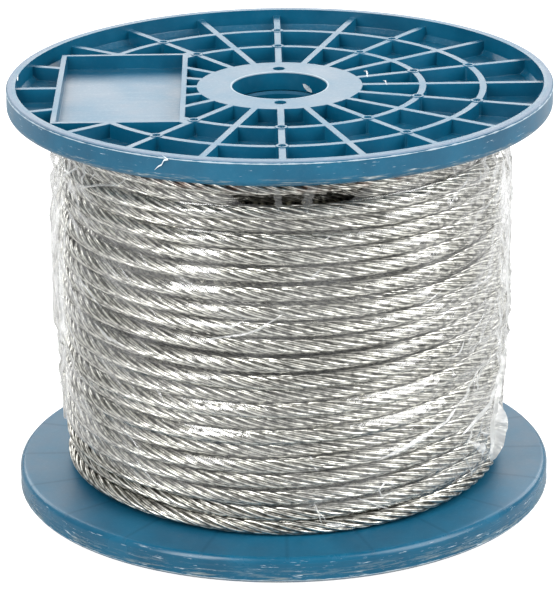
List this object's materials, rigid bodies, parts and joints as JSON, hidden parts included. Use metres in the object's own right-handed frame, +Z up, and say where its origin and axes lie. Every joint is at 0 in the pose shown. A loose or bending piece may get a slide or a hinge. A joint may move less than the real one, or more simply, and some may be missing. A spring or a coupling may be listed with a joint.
{
  "type": "wire rope on spool",
  "caption": "Flanged plastic spool standing on end, fully wound with stranded galvanised wire rope and wrapped in clear stretch film, with a spindle hole through its axis.",
  "frame": {"origin": "on the spool's axis, at the surface that its lower flange stands on", "axes": "+Z up along the spool's axis; +X to the right and +Y away from the camera in the picture; the label pockets are on the -X side"},
  "size_m": [0.22, 0.22, 0.172],
  "materials": {
    "spool_plastic": "teal-blue injection-moulded plastic, satin, scuffed pale along the rims",
    "galvanised_wire": "bright galvanised steel wires laid up in strands",
    "clear_film": "clear glossy stretch film, wrinkled, whitish where it is gathered"
  },
  "bodies": {
    "root": {"top_flange": "spool_plastic", "bottom_flange": "spool_plastic", "barrel": "spool_plastic", "rope_winding": "galvanised_wire", "stretch_film": "clear_film"}
  },
  "joints": []
}
